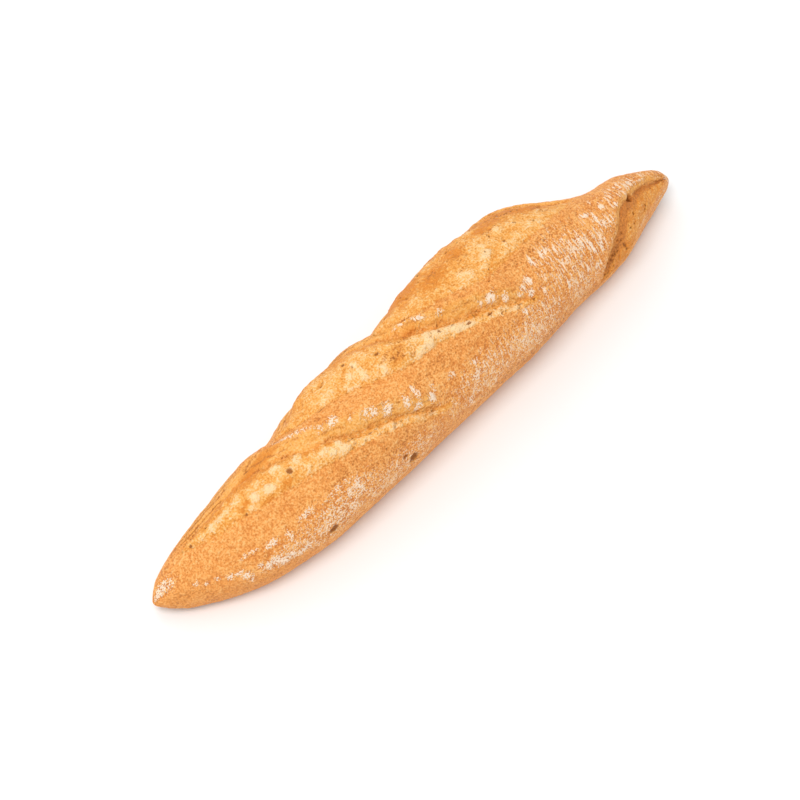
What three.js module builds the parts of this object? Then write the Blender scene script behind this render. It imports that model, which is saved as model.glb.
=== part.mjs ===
// A rustic baguette: one loaf, baked in one piece on a flat oven floor.
//
// The loaf lies along X and rests on its flat sole at z = 0. Its surface is a stack of rings across X.
// A point of a ring is found by its girth angle: 0 on the top line, -90 on the front flank (-Y), +90 on the
// back flank (+Y) and 180 on the middle of the sole. Three long scoring cuts run askew over the top, and each
// one has torn open in the oven: it starts on the front as a narrow crevice, under a raised lip of crust, and
// ends on the back as a wide bulging bloom. A fourth, smaller tear opens the front flank near the right tip.
import * as THREE from "three";
import { ParametricGeometry } from "three/addons/geometries/ParametricGeometry.js";

// Driving dimensions, in millimetres and degrees.
const LENGTH = 400;
const TIP_ROUNDING = 9; // length of the rounded cap at each tip
const SOLE_SHARE = 0.62; // width of the flat sole as a share of the width of the ring
const FLANK_HEIGHT_SHARE = 0.42; // height of the widest line as a share of the height of the ring
const CROWN_POWER = 0.94; // below 1 the crown of the ring is fuller than an ellipse
const SOLE_EDGE_ANGLE = 150; // girth angle where the flank meets the sole
const CROWN_REACH = 104; // the crown, with the cuts, ends at this girth angle on both sides
const CUTS_FADED = 128; // girth angle on both sides where nothing is left of the cuts
const RINGS = 116; // steps along the loaf
const SOLE_STEPS = 2; // steps round half of the sole
const FLANK_STEPS = 4; // steps down a lower flank
const CROWN_STEPS = 36; // steps over the crown
const TIP_CROWDING = 0.45; // 0 spaces the rings evenly, 1 crowds them most towards the tips
const SHARPEST_TIP = 0.2; // nearer a tip than this share of the full section, the crust stays plain

// The lines of the loaf: at X, the half width, the offset of the middle towards the back, and the height.
const STATIONS = [
  { x: -200, halfWidth: 4, middle: 2, height: 12 },
  { x: -185, halfWidth: 13, middle: -1, height: 23 },
  { x: -160, halfWidth: 22, middle: -6, height: 36 },
  { x: -120, halfWidth: 30, middle: -8, height: 48.5 },
  { x: -70, halfWidth: 33.5, middle: -5, height: 56.5 },
  { x: 0, halfWidth: 35, middle: 0, height: 59.5 },
  { x: 60, halfWidth: 37.5, middle: 5.5, height: 59 },
  { x: 100, halfWidth: 33.5, middle: 7, height: 54.5 },
  { x: 118, halfWidth: 26.5, middle: 1.5, height: 50 },
  { x: 135, halfWidth: 21.5, middle: -1, height: 46.5 },
  { x: 170, halfWidth: 14.5, middle: 3, height: 34 },
  { x: 188, halfWidth: 8, middle: 2, height: 25 },
  { x: 200, halfWidth: 4, middle: 1.5, height: 16 },
];

// The tips curl up off the oven floor: at X, the height of the underside.
const UNDERSIDE = [
  [-200, 5],
  [-180, 1.5],
  [-150, 0],
  [150, 0],
  [180, 3],
  [200, 9],
];

// Unopened straps of crust hold the loaf in on the back: the middle of each at X and its girth angle, its
// half sizes along the loaf and round it, how far it pulls the crust in, and its lean in degrees to a mm.
const STRAPS = [
  { x: -97, angle: 48, length: 16, girth: 34, pull: 4, lean: -0.6 },
  { x: -17, angle: 52, length: 14, girth: 30, pull: 4, lean: -0.6 },
];

// Each cut is bounded by a lower edge, on the side of the front, and an upper edge, as [X, girth angle].
// Its crevice sinks to `depth`, and its dough swells by `bloom`. Past its upper edge the crust rises to a
// lip, whose crest lies `crestNear` from that edge at the near end of the cut and `crestFar` at the far end.
// Its crevice deepens from `creviceFrom` to `creviceTo`, as shares of its length.
const CUTS = [
  {
    lower: [[-179, 27], [-161, 3], [-143, -6], [-123, -14], [-104, -21], [-82, -32], [-60, -43], [-22, -71]],
    upper: [[-179, 27], [-163, 33], [-143, 36], [-125, 25], [-97, -2], [-76, -21], [-53, -37], [-22, -65]],
    depth: 2.6, bloom: 2.5, lip: 3.2, rim: 0.8,
    crestNear: 13, crestFar: 12, creviceFrom: 0.35, creviceTo: 0.75,
  },
  {
    lower: [[-104, 36], [-89, 20], [-68, 9], [-48, -2], [-26, -13], [-4, -18], [20, -30], [56, -49]],
    upper: [[-104, 36], [-86, 56], [-62, 66], [-42, 50], [-27, 30], [-14, 10], [5, -7], [29, -22], [56, -44]],
    depth: 3, bloom: 4, lip: 3.2, rim: 0.8,
    crestNear: 13, crestFar: 11, creviceFrom: 0.35, creviceTo: 0.75,
  },
  {
    lower: [[-24, 38], [-6, 16], [20, 3], [33, -4], [77, -5], [98, -3], [114, 10], [129, 31]],
    upper: [[-24, 38], [-5, 60], [20, 71], [50, 73], [77, 65], [98, 54], [114, 41], [129, 31]],
    depth: 1.5, bloom: 4, lip: 1.2, rim: 1,
    crestNear: 8, crestFar: 7, creviceFrom: 0.35, creviceTo: 0.75,
  },
  {
    lower: [[112, -98], [128, -104], [140, -99], [147, -84], [157, -73], [175, -66], [194, -48]],
    upper: [[112, -98], [128, -68], [136, -52], [144, -32], [156, -27], [172, -26], [194, -48]],
    depth: 2.4, bloom: 1, lip: 1, rim: 0.3,
    crestNear: 8, crestFar: 7, creviceFrom: -0.2, creviceTo: 0.1,
  },
];
const LEAST_OPENING = 8; // a cut is never narrower than this across
const LIP_FALL = 13; // from the crest of a lip back to the plain crust
const NEAR_LIP_SHARE = 0.3; // height of a lip at the near end, as a share of its full height
const NEAR_DEPTH_SHARE = 0.3; // depth of a cut before its crevice, as a share of its full depth
const RIM_WIDTH = 6; // how far the lower edge of a cut stays raised

// Where along a cut things change, as shares of its length from the near end at low X.
const CUT_STARTS = [-0.03, 0.1];
const CUT_ENDS = [0.92, 1.03];
const LIP_RISES = [0.2, 0.6];
const CREST_SHIFTS = [0.2, 0.7];
const BLOOM_FADES = [0.45, 0.85];

/** A smooth curve through [X, value] points, held at its end values beyond them. */
function curveThrough(points) {
  const spline = new THREE.CubicInterpolant(points.map((p) => p[0]), points.map((p) => p[1]), 1, [0]);
  const first = points[0][0];
  const last = points[points.length - 1][0];
  return (x) => spline.evaluate(THREE.MathUtils.clamp(x, first, last))[0];
}

const halfWidthAt = curveThrough(STATIONS.map((s) => [s.x, s.halfWidth]));
const middleAt = curveThrough(STATIONS.map((s) => [s.x, s.middle]));
const heightAt = curveThrough(STATIONS.map((s) => [s.x, s.height]));
const undersideCurve = curveThrough(UNDERSIDE);
const undersideAt = (x) => Math.max(0, undersideCurve(x));

/** How much of the full section is left at X: 1 along the loaf, falling as a quarter circle to 0 at a tip. */
function tipShare(x) {
  const inset = THREE.MathUtils.clamp((LENGTH / 2 - Math.abs(x)) / TIP_ROUNDING, 0, 1);
  return Math.sqrt(1 - (1 - inset) ** 2);
}

/** The unscored loaf at X and a girth angle in degrees. */
function plainPoint(x, angle, target) {
  const share = tipShare(x);
  const bottom = undersideAt(x);
  const top = heightAt(x);
  const widest = bottom + FLANK_HEIGHT_SHARE * (top - bottom);
  const turn = Math.abs(angle);
  let across;
  let z;
  if (turn <= 90) {
    const a = THREE.MathUtils.degToRad(turn);
    across = Math.sin(a) ** CROWN_POWER;
    z = widest + (top - widest) * Math.max(0, Math.cos(a)) ** CROWN_POWER;
  } else if (turn <= SOLE_EDGE_ANGLE) {
    const a = ((turn - 90) / (SOLE_EDGE_ANGLE - 90)) * (Math.PI / 2);
    across = SOLE_SHARE + (1 - SOLE_SHARE) * Math.cos(a);
    z = bottom + (widest - bottom) * (1 - Math.sin(a));
  } else {
    across = (SOLE_SHARE * (180 - turn)) / (180 - SOLE_EDGE_ANGLE);
    z = bottom;
  }
  const y = middleAt(x) + Math.sign(angle) * halfWidthAt(x) * across * share;
  return target.set(x, y, widest + (z - widest) * share);
}

/** Millimetres of girth to a degree on the crown of the ring at X. */
function girthScale(x) {
  const rise = (1 - FLANK_HEIGHT_SHARE) * heightAt(x);
  return (Math.hypot(halfWidthAt(x), rise) / Math.SQRT2) * tipShare(x) * (Math.PI / 180);
}

const { lerp, smoothstep } = THREE.MathUtils;
const STEP = 0.5; // distance along X, and in degrees of girth, over which slopes are measured

/** Turns a cut's edges into curves, once. */
function prepareCut({ lower, upper, ...sizes }) {
  return {
    ...sizes,
    from: lower[0][0],
    to: lower[lower.length - 1][0],
    lowerAt: curveThrough(lower),
    upperAt: curveThrough(upper),
  };
}

/** How far the lip of a cut stands out, `out` past its upper edge: up to its crest, and down beyond it. */
function lipRelief(cut, along, out, sunk) {
  const crest = lerp(cut.crestNear, cut.crestFar, smoothstep(along, ...CREST_SHIFTS));
  const peak = cut.lip * lerp(NEAR_LIP_SHARE, 1, smoothstep(along, ...LIP_RISES));
  if (out > crest) return peak * (1 - smoothstep(out, crest, crest + LIP_FALL));
  return lerp(-sunk, peak, smoothstep(out, 0, crest));
}

/** How far a cut raises (+) or sinks (-) the crust at X and a girth angle. */
function cutRelief(cut, x, angle) {
  const along = (x - cut.from) / (cut.to - cut.from);
  const ends = smoothstep(along, ...CUT_STARTS) * (1 - smoothstep(along, ...CUT_ENDS));
  if (ends === 0) return 0;
  const scale = girthScale(x);
  const slope = (cut.lowerAt(x + STEP) - cut.lowerAt(x - STEP)) / (2 * STEP);
  const lean = Math.hypot(1, slope * scale);
  const above = ((angle - cut.lowerAt(x)) * scale) / lean;
  const opening = Math.max(LEAST_OPENING, ((cut.upperAt(x) - cut.lowerAt(x)) * scale) / lean);
  const crevice = smoothstep(along, cut.creviceFrom, cut.creviceTo);
  const sunk = cut.depth * lerp(NEAR_DEPTH_SHARE, 1, crevice);
  if (above > opening) return ends * lipRelief(cut, along, above - opening, sunk);
  const rim = cut.rim * Math.exp(-((above / RIM_WIDTH) ** 2));
  if (above <= 0) return ends * rim;
  const across = above / opening;
  const bloom = cut.bloom * (1 - smoothstep(along, ...BLOOM_FADES));
  return ends * (lerp(rim, -sunk, smoothstep(across, 0, 1)) + bloom * 4 * across * (1 - across));
}

/** How far a strap holds the crust in at X and a girth angle. */
function strapPull(strap, x, angle) {
  const along = x - strap.x;
  const round = angle - strap.angle - strap.lean * along;
  const reach = Math.hypot(along / strap.length, round / strap.girth);
  return strap.pull * Math.exp(-(reach ** 3));
}

const cuts = CUTS.map(prepareCut);

/** How far the crust stands out from the plain loaf: the cuts fade out below the crown. */
function relief(x, angle) {
  const onCrown = 1 - smoothstep(Math.abs(angle), CROWN_REACH, CUTS_FADED);
  const opened = cuts.reduce((sum, cut) => sum + cutRelief(cut, x, angle), 0);
  return onCrown * opened - STRAPS.reduce((sum, strap) => sum + strapPull(strap, x, angle), 0);
}

const alongStep = new THREE.Vector3();
const girthStep = new THREE.Vector3();
const outward = new THREE.Vector3();

/** The finished crust, for u round the ring and v along the loaf, both from 0 to 1. */
function crustPoint(u, v, target) {
  const x = ringPosition(v);
  const angle = girthAngle(u);
  plainPoint(x, angle, target);
  const height = relief(x, angle);
  if (height === 0 || tipShare(x) < SHARPEST_TIP) return;
  plainPoint(x + STEP, angle, alongStep).sub(target);
  plainPoint(x, angle + STEP, girthStep).sub(target);
  outward.crossVectors(girthStep, alongStep).normalize();
  target.addScaledVector(outward, height);
}

// Steps round half a ring, and the girth angles they reach: fine over the crown, coarse below.
const FLANK_END = SOLE_STEPS + FLANK_STEPS;
const RING_STEPS = 2 * FLANK_END + CROWN_STEPS;
const girthCurve = new THREE.LinearInterpolant(
  [0, SOLE_STEPS, FLANK_END, RING_STEPS - FLANK_END, RING_STEPS - SOLE_STEPS, RING_STEPS],
  [180, SOLE_EDGE_ANGLE, CROWN_REACH, -CROWN_REACH, -SOLE_EDGE_ANGLE, -180],
  1,
  [0],
);

/** The girth angle at u, from 180 down to -180. */
function girthAngle(u) {
  return girthCurve.evaluate(u * RING_STEPS)[0];
}

/** X of the ring at v: evenly spaced along the loaf, and closer together round the tips. */
function ringPosition(v) {
  const even = 2 * v - 1;
  const rounded = Math.sin((Math.PI / 2) * even);
  return (LENGTH / 2) * lerp(even, rounded, TIP_CROWDING);
}

/** The loaf as one closed mesh, with its origin under the middle of its box. */
function makeLoaf() {
  const geometry = new ParametricGeometry(crustPoint, RING_STEPS, RINGS);
  geometry.computeBoundingBox();
  const middle = geometry.boundingBox.getCenter(new THREE.Vector3());
  const crust = new THREE.MeshStandardMaterial({ color: 0xe3a062, roughness: 0.7, metalness: 0 });
  const loaf = new THREE.Mesh(geometry, crust);
  loaf.name = "loaf";
  loaf.position.set(-middle.x, -middle.y, -geometry.boundingBox.min.z);
  return loaf;
}

const baguette = new THREE.Group();
baguette.add(makeLoaf());

export default baguette;
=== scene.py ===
"""A rustic baguette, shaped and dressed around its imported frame.

The loaf lies along X on its flat sole. Its surface is a grid: rings of points across X, each point found by
its girth angle, which is 0 on the top line, -90 on the front flank (-Y), +90 on the back flank (+Y) and 180
on the middle of the sole. Lengths are in millimetres and angles in degrees until the mesh is set into the
frame's box.
"""

from __future__ import annotations

import logging
import math
from dataclasses import dataclass, field
from enum import Enum
from typing import Any, NamedTuple

import bpy
import numpy as np
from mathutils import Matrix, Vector

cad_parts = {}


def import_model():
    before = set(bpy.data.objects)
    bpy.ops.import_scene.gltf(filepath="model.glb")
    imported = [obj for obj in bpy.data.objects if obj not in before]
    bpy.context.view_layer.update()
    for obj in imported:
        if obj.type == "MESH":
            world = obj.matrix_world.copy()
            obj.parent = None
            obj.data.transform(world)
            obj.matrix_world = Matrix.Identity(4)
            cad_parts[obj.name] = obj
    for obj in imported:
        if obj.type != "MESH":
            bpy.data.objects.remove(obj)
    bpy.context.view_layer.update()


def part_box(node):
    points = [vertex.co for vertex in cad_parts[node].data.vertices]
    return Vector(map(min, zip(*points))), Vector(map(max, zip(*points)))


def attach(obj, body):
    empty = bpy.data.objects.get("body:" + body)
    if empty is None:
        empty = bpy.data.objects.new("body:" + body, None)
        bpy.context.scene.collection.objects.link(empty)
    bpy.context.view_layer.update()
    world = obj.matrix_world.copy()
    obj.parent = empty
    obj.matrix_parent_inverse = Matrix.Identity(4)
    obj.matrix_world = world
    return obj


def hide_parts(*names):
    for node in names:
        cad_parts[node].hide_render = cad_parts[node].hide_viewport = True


log = logging.getLogger("baguette")

Array = np.ndarray
Colour = tuple[float, float, float]

NODE = "loaf"
BODY = "root"
FAR_AWAY = 99.0  # mm, farther than any lip reaches


# ---- Curves and noise ----


def smoothstep(value: Array | float, low: float, high: float) -> Array:
    """Rises from 0 at low to 1 at high along t*t*(3-2t), and stays flat outside.

    Args:
        value: where to take it.
        low: where it is 0.
        high: where it is 1, which may lie below low.

    Returns:
        The share from 0 to 1 at each value.
    """
    t = np.clip((np.asarray(value, float) - low) / (high - low), 0.0, 1.0)
    return t * t * (3.0 - 2.0 * t)


def mix(a: Array | float, b: Array | float, share: Array) -> Array:
    """A straight blend.

    Args:
        a: the value where share is 0.
        b: the value where share is 1.
        share: how far from a to b.

    Returns:
        The blend at each share.
    """
    return a + (b - a) * share


@dataclass(frozen=True)
class Curve:
    """A smooth line through a few (x, value) points, held at its end values beyond them.

    Each span is a cubic Hermite piece: its two ends meet their points, and its slope at a point is the
    average of the straight slopes on both sides, each weighted by the length of the other span.
    """

    points: tuple[tuple[float, float], ...]

    def at(self, x: Array) -> Array:
        """The value of the line.

        Args:
            x: where to take it.

        Returns:
            The value at each x.
        """
        xs, ys = (np.array(column, float) for column in zip(*self.points, strict=True))
        spans = np.diff(xs)
        straight = np.diff(ys) / spans
        slopes = np.concatenate([straight[:1], np.zeros(len(xs) - 2), straight[-1:]])
        slopes[1:-1] = (straight[:-1] * spans[1:] + straight[1:] * spans[:-1]) / (spans[1:] + spans[:-1])
        i = np.clip(np.searchsorted(xs, x) - 1, 0, len(xs) - 2)
        t = np.clip((x - xs[i]) / spans[i], 0.0, 1.0)
        ends = (1 + 2 * t) * (1 - t) ** 2 * ys[i] + t * t * (3 - 2 * t) * ys[i + 1]
        return ends + spans[i] * (t * (1 - t) ** 2 * slopes[i] - t * t * (1 - t) * slopes[i + 1])

    def slope(self, x: Array, step: float = 0.5) -> Array:
        """How steep the line is.

        Args:
            x: where to take it.
            step: the slope is measured over this much of x to both sides.

        Returns:
            The change of the value for each unit of x.
        """
        return (self.at(x + step) - self.at(x - step)) / (2 * step)


class Cells(NamedTuple):
    """What the cell noise says at each point."""

    nearest: Array
    chance: Array


@dataclass(frozen=True)
class Noise:
    """Repeatable noise in space, hashed from whole-number lattice corners."""

    seed: int

    def _hash(self, corner: Array, channel: int) -> Array:
        """Hashes lattice corners: the coordinates are mixed by multiplying and by exclusive-or with a shift.

        Args:
            corner: the corners, as whole numbers.
            channel: which of several unrelated numbers to give.

        Returns:
            A number from 0 to 1 for each corner.
        """
        key = corner[..., 0] * 374761393 + corner[..., 1] * 668265263 + corner[..., 2] * 2147483647
        key = (key + (self.seed * 7919 + channel) * 1274126177) & 0xFFFFFFFF
        key = ((key ^ (key >> 13)) * 1274126177) & 0xFFFFFFFF
        key = ((key ^ (key >> 16)) * 2246822519) & 0xFFFFFFFF
        return ((key ^ (key >> 13)) & 0xFFFFFF) / float(0x1000000)

    def value(self, points: Array) -> Array:
        """Smooth noise: the numbers of the eight corners round a point, blended by 6t^5-15t^4+10t^3.

        Args:
            points: where to take it, one feature to a unit.

        Returns:
            The noise from -1 to 1 at each point.
        """
        base = np.floor(points).astype(np.int64)
        t = points - base
        t = t * t * t * (t * (t * 6 - 15) + 10)
        total = np.zeros(points.shape[:-1])
        for corner in range(8):
            bits = np.array([corner & 1, corner >> 1 & 1, corner >> 2 & 1])
            weight = np.prod(np.where(bits == 1, t, 1 - t), axis=-1)
            total += weight * self._hash(base + bits, 0)
        return 2 * total - 1

    def fractal(self, points: Array, octaves: int = 3) -> Array:
        """Layers of smooth noise, each twice as fine and half as strong as the one before.

        Args:
            points: where to take it, one feature of the first layer to a unit.
            octaves: how many layers.

        Returns:
            The noise from about -1 to 1 at each point.
        """
        layers = [self.value(points * 2**i + 17.3 * i) / 2**i for i in range(octaves)]
        return sum(layers) / sum(0.5**i for i in range(octaves))

    def cells(self, points: Array) -> Cells:
        """Cell noise: one seed stands at random in each unit cube.

        Args:
            points: where to take it.

        Returns:
            The distance to the nearest seed, and a number from 0 to 1 that belongs to that seed.
        """
        base = np.floor(points).astype(np.int64)
        nearest = np.full(points.shape[:-1], 9.0)
        chance = np.zeros(points.shape[:-1])
        for corner in np.ndindex(3, 3, 3):
            cube = base + np.array(corner) - 1
            spot = cube + np.stack([self._hash(cube, channel) for channel in (1, 2, 3)], axis=-1)
            distance = np.linalg.norm(points - spot, axis=-1)
            closer = distance < nearest
            chance = np.where(closer, self._hash(cube, 4), chance)
            nearest = np.minimum(nearest, distance)
        return Cells(nearest, chance)


# ---- The unscored loaf ----


class Station(NamedTuple):
    """The loaf at one place: half its width, how far its middle lies towards the back, and its height."""

    x: float
    half_width: float
    middle: float
    height: float


@dataclass(frozen=True)
class LoafLines:
    """The plain loaf, before any cut opened: rings that follow a few stations along its length."""

    length: float = 400.0
    tip_rounding: float = 9.0
    sole_share: float = 0.62
    flank_height_share: float = 0.42
    crown_power: float = 0.94
    sole_edge_angle: float = 150.0
    stations: tuple[Station, ...] = (
        Station(-200, 4, 2, 12),
        Station(-185, 13, -1, 23),
        Station(-160, 22, -6, 36),
        Station(-120, 30, -8, 48.5),
        Station(-70, 33.5, -5, 56.5),
        Station(0, 35, 0, 59.5),
        Station(60, 37.5, 5.5, 59),
        Station(100, 33.5, 7, 54.5),
        Station(118, 26.5, 1.5, 50),
        Station(135, 21.5, -1, 46.5),
        Station(170, 14.5, 3, 34),
        Station(188, 8, 2, 25),
        Station(200, 4, 1.5, 16),
    )
    underside: Curve = Curve(((-200, 5), (-180, 1.5), (-150, 0), (150, 0), (180, 3), (200, 9)))

    def _line(self, name: str) -> Curve:
        """The curve of one measure through the stations."""
        return Curve(tuple((s.x, getattr(s, name)) for s in self.stations))

    def tip_share(self, x: Array) -> Array:
        """How much of the full ring is left: 1 along the loaf, falling as a quarter circle to 0 at a tip.

        Args:
            x: places along the loaf.

        Returns:
            The share at each place.
        """
        inset = np.clip((self.length / 2 - np.abs(x)) / self.tip_rounding, 0.0, 1.0)
        return np.sqrt(1 - (1 - inset) ** 2)

    def girth_scale(self, x: Array) -> Array:
        """How long a degree of girth is on the crown, taken as a circle with the same mean radius.

        Args:
            x: places along the loaf.

        Returns:
            Millimetres to a degree at each place.
        """
        rise = (1 - self.flank_height_share) * self._line("height").at(x)
        radius = np.hypot(self._line("half_width").at(x), rise) / math.sqrt(2)
        return radius * self.tip_share(x) * math.pi / 180

    def points(self, x: Array, angle: Array) -> Array:
        """Points of the plain loaf.

        The crown is a quarter of a slightly full ellipse on each side, the lower flank a quarter ellipse that
        rolls under to the sole, and the sole is flat.

        Args:
            x: places along the loaf, as a column.
            angle: girth angles, as a row.

        Returns:
            An array of points, rings by girth by 3.
        """
        half_width, middle, top = (self._line(name).at(x) for name in ("half_width", "middle", "height"))
        bottom = np.maximum(self.underside.at(x), 0.0)
        widest = bottom + self.flank_height_share * (top - bottom)
        turn = np.abs(angle)
        crown = np.radians(np.clip(turn, 0, 90))
        under = np.clip((turn - 90) / (self.sole_edge_angle - 90), 0, 1) * math.pi / 2
        sole = np.clip((180 - turn) / (180 - self.sole_edge_angle), 0, 1)
        on_crown, on_flank = turn <= 90, turn <= self.sole_edge_angle
        flank_across = self.sole_share + (1 - self.sole_share) * np.cos(under)
        across = np.where(
            on_crown,
            np.sin(crown) ** self.crown_power,
            np.where(on_flank, flank_across, self.sole_share * sole),
        )
        crown_rise = np.maximum(np.cos(crown), 0) ** self.crown_power
        rise = np.where(
            on_crown,
            (top - widest) * crown_rise,
            np.where(on_flank, -(widest - bottom) * np.sin(under), bottom - widest),
        )
        share = self.tip_share(x)
        y = middle + np.sign(angle) * half_width * across * share
        z = widest + rise * share
        return np.stack([np.broadcast_to(x, y.shape), y, z], axis=-1)


# ---- The cuts ----


@dataclass
class CutShape:
    """What one cut does at each point of the grid.

    relief is in millimetres. from_edge is how far out past the upper edge a point lies, in millimetres, and
    far away everywhere else. The rest are masks from 0 to 1: opening is the torn dough, stained is the same
    with softer edges, dome is the bulge of the bloom, crevice is the open crumb, face is the inner side of
    the lip, high is the upper part of the opening, brown is the valley at the foot of the lip, which the look
    paints dark as shade, and seam is the groove along the foot of the lip, which the look also paints dark as
    shade.
    """

    relief: Array
    opening: Array
    stained: Array
    dome: Array
    crevice: Array
    face: Array
    high: Array
    brown: Array
    seam: Array
    from_edge: Array

    @staticmethod
    def together(shapes: list[CutShape]) -> CutShape:
        """All the cuts as one: the reliefs add up, and of each mask and distance the strongest counts.

        Args:
            shapes: what each cut does.

        Returns:
            What they do together.
        """
        names = vars(shapes[0])
        whole = {name: np.maximum.reduce([getattr(shape, name) for shape in shapes]) for name in names}
        whole["relief"] = sum(shape.relief for shape in shapes)
        whole["from_edge"] = np.minimum.reduce([shape.from_edge for shape in shapes])
        return CutShape(**whole)


@dataclass(frozen=True)
class Cut:
    """A scoring cut that tore open in the oven.

    At its far end, at high x, it is a narrow crevice under a raised lip of crust. Towards its near end it
    widens into a bloom of blistered dough that swells out between its lower edge, a low rim of crust, and its
    upper edge, the foot of the lip. Both edges are (x, girth angle) curves that meet at the two ends.

    Heights and distances across the cut are in millimetres. Each pair of numbers says where something is
    absent and where it is full. The pairs are shares of the cut's length from its near end, but for `edge`,
    which is a distance inside an edge. `crumb` is how much of the crevice is open crumb, `hollow` is 1 where
    a smooth valley lies at the foot of the lip, painted dark as shade, and `seam` is how deep the groove at
    that foot is and how dark it is painted as shade.
    """

    lower: Curve
    upper: Curve
    depth: float
    bloom: float
    lip: float
    rim: float
    crest_near: float
    crest_far: float
    narrows: tuple[float, float] = (0.35, 0.75)
    crumb: float = 1.0
    hollow: float = 0.0
    seam: float = 0.25
    near_depth: float = 0.3
    near_lip: float = 0.3
    lip_fall: float = 13.0
    rim_width: float = 6.0
    seam_width: float = 0.9
    near_stain: float = 2.6
    far_stain: float = 0.9
    edge: tuple[float, float] = (-0.4, 0.8)
    starts: tuple[float, float] = (-0.03, 0.10)
    ends: tuple[float, float] = (1.03, 0.92)
    crumb_ends: tuple[float, float] = (1.0, 0.94)
    bloom_spans: tuple[float, float] = (0.85, 0.45)
    lip_rises: tuple[float, float] = (0.2, 0.6)
    crest_shifts: tuple[float, float] = (0.2, 0.7)

    def _inside(self, edge: Curve, x: Array, angle: Array, scale: Array) -> Array:
        """How far round the girth each point lies from an edge, square to the edge.

        Args:
            edge: one of the two edges.
            x: places along the loaf, as a column.
            angle: girth angles, as a row.
            scale: millimetres to a degree of girth, as a column.

        Returns:
            Millimetres towards the back from the edge.
        """
        return (angle - edge.at(x)) * scale / np.hypot(1, edge.slope(x) * scale)

    def _lip(self, along: Array, out: Array, depth: Array) -> tuple[Array, Array]:
        """The lip: its face climbs to its crest along a parabola, and the crust beyond eases back to plain.

        Args:
            along: shares of the cut's length, as a column.
            out: how far past the upper edge each point lies.
            depth: how deep the foot of the lip is, as a column.

        Returns:
            The relief in millimetres, and how far out the crest is.
        """
        crest = mix(self.crest_near, self.crest_far, smoothstep(along, *self.crest_shifts))
        peak = self.lip * self._strength(along) * mix(self.near_lip, 1.0, smoothstep(along, *self.lip_rises))
        steep = 1 - (1 - np.clip(out / crest, 0, 1)) ** 2
        climb = mix(steep, smoothstep(out, 0.0, crest), self.hollow)
        fall = np.where(out > crest, smoothstep(out, crest + self.lip_fall, crest), 1.0)
        return mix(-depth, peak, climb) * fall, crest

    def _strength(self, along: Array) -> Array:
        """How much of the cut there is at shares of its length: 1 along it, easing to 0 past both ends."""
        return smoothstep(along, *self.starts) * smoothstep(along, *self.ends)

    def shape(self, x: Array, angle: Array, scale: Array) -> CutShape:
        """The relief of the cut and the masks of its parts.

        Across the opening, at a share s of the way from the lower edge, the floor lies s^1.5 times the depth
        below the plain loaf, and a dome of (1 - (2s - 1)^2)^0.8 stands on it where the cut has bloomed.

        Args:
            x: places along the loaf, as a column.
            angle: girth angles, as a row.
            scale: millimetres to a degree of girth, as a column.

        Returns:
            What the cut does at each point.
        """
        start, end = self.lower.points[0][0], self.lower.points[-1][0]
        along = (x - start) / (end - start)
        strength = self._strength(along)
        above = self._inside(self.lower, x, angle, scale)
        below = -self._inside(self.upper, x, angle, scale)
        inside = (above > 0) & (below > 0)
        across = np.where(inside, above / np.maximum(above + below, 1e-6), below <= 0)

        narrow = smoothstep(along, *self.narrows)
        depth = self.depth * mix(self.near_depth, 1.0, narrow) * strength
        bloom = self.bloom * smoothstep(along, *self.bloom_spans) * strength
        dome = np.where(inside, (1 - (2 * across - 1) ** 2) ** 0.8, 0.0)
        floor = -depth * across**1.5 + bloom * dome
        rim = self.rim * strength * np.exp(-((np.minimum(above, 0.0) / self.rim_width) ** 2))
        out = np.maximum(-below, 0.0)
        lip, crest = self._lip(along, out, depth)
        relief = np.where(below <= 0, lip, np.where(above <= 0, rim, floor))

        there = strength > 0
        opening = smoothstep(above, *self.edge) * smoothstep(below, *self.edge) * there
        stain = mix(self.near_stain, self.far_stain, narrow)
        valley = smoothstep(across, 0.55, 0.85) * smoothstep(out, 0.7 * crest, 0.0)
        return CutShape(
            relief=np.where(there, relief, 0.0),
            opening=opening,
            stained=smoothstep(above, -stain, stain) * smoothstep(below, -0.8, 1.2) * there,
            dome=dome * opening * (bloom > 0),
            crevice=opening * narrow * self.crumb * smoothstep(along, *self.crumb_ends),
            face=smoothstep(below, 0.4, -0.8) * smoothstep(out, crest * 1.3, crest * 0.5) * strength,
            high=opening * smoothstep(across, 0.45, 0.9),
            # painted shade: the valley at the foot of the lip, where hollow is set, darkened in the look
            brown=self.hollow * strength * valley,
            # painted shade: the groove along the foot of the lip, darkened in the look
            seam=self.seam * strength * np.exp(-((below / self.seam_width) ** 2)),
            from_edge=np.where(below <= 0, out, FAR_AWAY),
        )


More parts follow.
